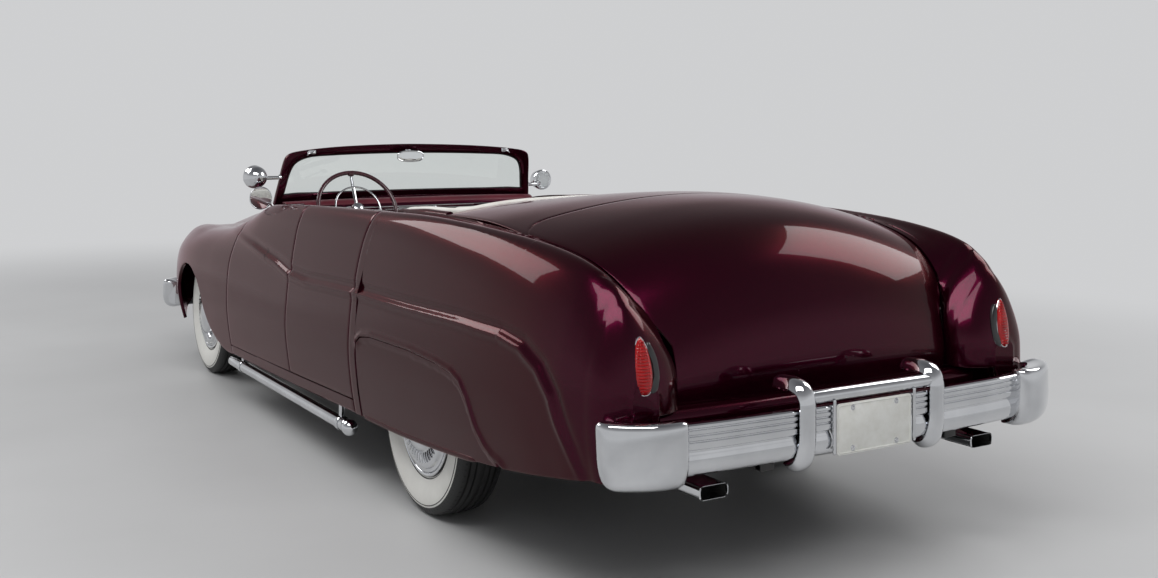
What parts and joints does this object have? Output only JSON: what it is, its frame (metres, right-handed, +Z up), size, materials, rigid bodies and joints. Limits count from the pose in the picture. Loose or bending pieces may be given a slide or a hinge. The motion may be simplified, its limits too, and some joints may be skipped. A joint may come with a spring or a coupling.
{
  "type": "lowered four-door convertible car of about 1950",
  "caption": "Low custom convertible car in deep black-cherry paint with chrome bumpers, whitewall tyres, rear fender skirts and a chopped windshield; doors, lids, steering and wheels move.",
  "frame": {"origin": "on the ground, at the middle of the overall length and width", "axes": "+X to the car's left side, -Y to its front, +Z up"},
  "size_m": [1.928, 5.324, 1.3059],
  "materials": {
    "body_paint": "high gloss metallic clearcoat",
    "chrome": "polished",
    "chassis_black": "satin",
    "cast_iron": "rough",
    "tyre_rubber": "matt with a white sidewall band",
    "upholstery": "pleated, semi-matt",
    "clear_glass": "clear",
    "red_lens": "ribbed",
    "wheel_plastic": "gloss",
    "plate_white": "semi-gloss"
  },
  "bodies": {
    "body": {"center_posts": "body_paint", "cowl": "body_paint", "dashboard": "body_paint", "deck_panel": "body_paint", "drive_shaft": "chassis_black", "engine_block": "cast_iron", "exhaust_pipes": "chrome", "fender_skirts": "body_paint", "floor_pan": "chassis_black", "frame_rails": "chassis_black", "front_bumper": "chrome", "front_guards": "chrome", "front_seat": "upholstery", "front_suspension": "chassis_black", "grille": "chrome", "headlights": "clear_glass", "left_front_fender": "body_paint", "left_quarter_panel": "body_paint", "nose_panel": "body_paint", "number_plate": "plate_white", "rear_axle": "chassis_black", "rear_bumper": "chrome", "rear_guards": "chrome", "rear_pan": "body_paint", "rear_seat": "upholstery", "rear_shelf": "upholstery", "rear_view_mirror": "chrome", "right_front_fender": "body_paint", "right_quarter_panel": "body_paint", "rocker_panels": "body_paint", "side_pipes": "chrome", "spotlights": "chrome", "steering_column": "chassis_black", "taillights": "red_lens", "windshield_frame": "body_paint", "windshield_glass": "clear_glass"},
    "left_steering_knuckle": {"left_knuckle": "cast_iron"},
    "left_front_road_wheel": {"left_front_wheel": "chrome", "left_front_tyre": "tyre_rubber"},
    "left_front_door_body": {"left_front_door": "body_paint", "door_mirror": "chrome"},
    "left_rear_road_wheel": {"left_rear_wheel": "chrome", "left_rear_tyre": "tyre_rubber"},
    "left_rear_door_body": {"left_rear_door": "body_paint"},
    "right_steering_knuckle": {"right_knuckle": "cast_iron"},
    "right_front_road_wheel": {"right_front_wheel": "chrome", "right_front_tyre": "tyre_rubber"},
    "right_front_door_body": {"right_front_door": "body_paint"},
    "right_rear_road_wheel": {"right_rear_wheel": "chrome", "right_rear_tyre": "tyre_rubber"},
    "right_rear_door_body": {"right_rear_door": "body_paint"},
    "steering_wheel_body": {"steering_wheel": "wheel_plastic"},
    "hood_body": {"hood": "body_paint"},
    "trunk_lid_body": {"trunk_lid": "body_paint"}
  },
  "joints": [
    {"name": "left_steer", "type": "hinge", "parent": "body", "child": "left_steering_knuckle", "pos_m": [0.64, -1.761, 0.352], "axis": [0, 0, 1], "range_deg": [-24, 24]},
    {"name": "left_front_spin", "type": "hinge", "parent": "left_steering_knuckle", "child": "left_front_road_wheel", "pos_m": [0.743, -1.761, 0.352], "axis": [1, 0, 0], "continuous": true},
    {"name": "left_rear_spin", "type": "hinge", "parent": "body", "child": "left_rear_road_wheel", "pos_m": [0.762, 1.236, 0.352], "axis": [1, 0, 0], "continuous": true},
    {"name": "left_front_door_swing", "type": "hinge", "parent": "body", "child": "left_front_door_body", "pos_m": [0.972, -0.927, 0.65], "axis": [0, 0, -1], "range_deg": [0, 65]},
    {"name": "left_rear_door_swing", "type": "hinge", "parent": "body", "child": "left_rear_door_body", "pos_m": [0.972, 0.767, 0.65], "axis": [0, 0, 1], "range_deg": [0, 70]},
    {"name": "right_steer", "type": "hinge", "parent": "body", "child": "right_steering_knuckle", "pos_m": [-0.64, -1.761, 0.352], "axis": [0, 0, 1], "range_deg": [-24, 24]},
    {"name": "right_front_spin", "type": "hinge", "parent": "right_steering_knuckle", "child": "right_front_road_wheel", "pos_m": [-0.743, -1.761, 0.352], "axis": [1, 0, 0], "continuous": true},
    {"name": "right_rear_spin", "type": "hinge", "parent": "body", "child": "right_rear_road_wheel", "pos_m": [-0.762, 1.236, 0.352], "axis": [1, 0, 0], "continuous": true},
    {"name": "right_front_door_swing", "type": "hinge", "parent": "body", "child": "right_front_door_body", "pos_m": [-0.972, -0.927, 0.65], "axis": [0, 0, 1], "range_deg": [0, 65]},
    {"name": "right_rear_door_swing", "type": "hinge", "parent": "body", "child": "right_rear_door_body", "pos_m": [-0.972, 0.767, 0.65], "axis": [0, 0, -1], "range_deg": [0, 70]},
    {"name": "steering_wheel_turn", "type": "hinge", "parent": "body", "child": "steering_wheel_body", "pos_m": [0.38, -0.594, 0.984], "axis": [0, 0.866, 0.5], "range_deg": [-480, 480]},
    {"name": "hood_lift", "type": "hinge", "parent": "body", "child": "hood_body", "pos_m": [0, -0.985, 1.03], "axis": [-1, 0, 0], "range_deg": [0, 50]},
    {"name": "trunk_lift", "type": "hinge", "parent": "body", "child": "trunk_lid_body", "pos_m": [0, 1.735, 1.17], "axis": [1, 0, 0], "range_deg": [0, 58]}
  ],
  "couplings": [
    {"joint": "right_steer", "follows": "left_steer", "ratio": 1},
    {"joint": "steering_wheel_turn", "follows": "left_steer", "ratio": 20}
  ]
}
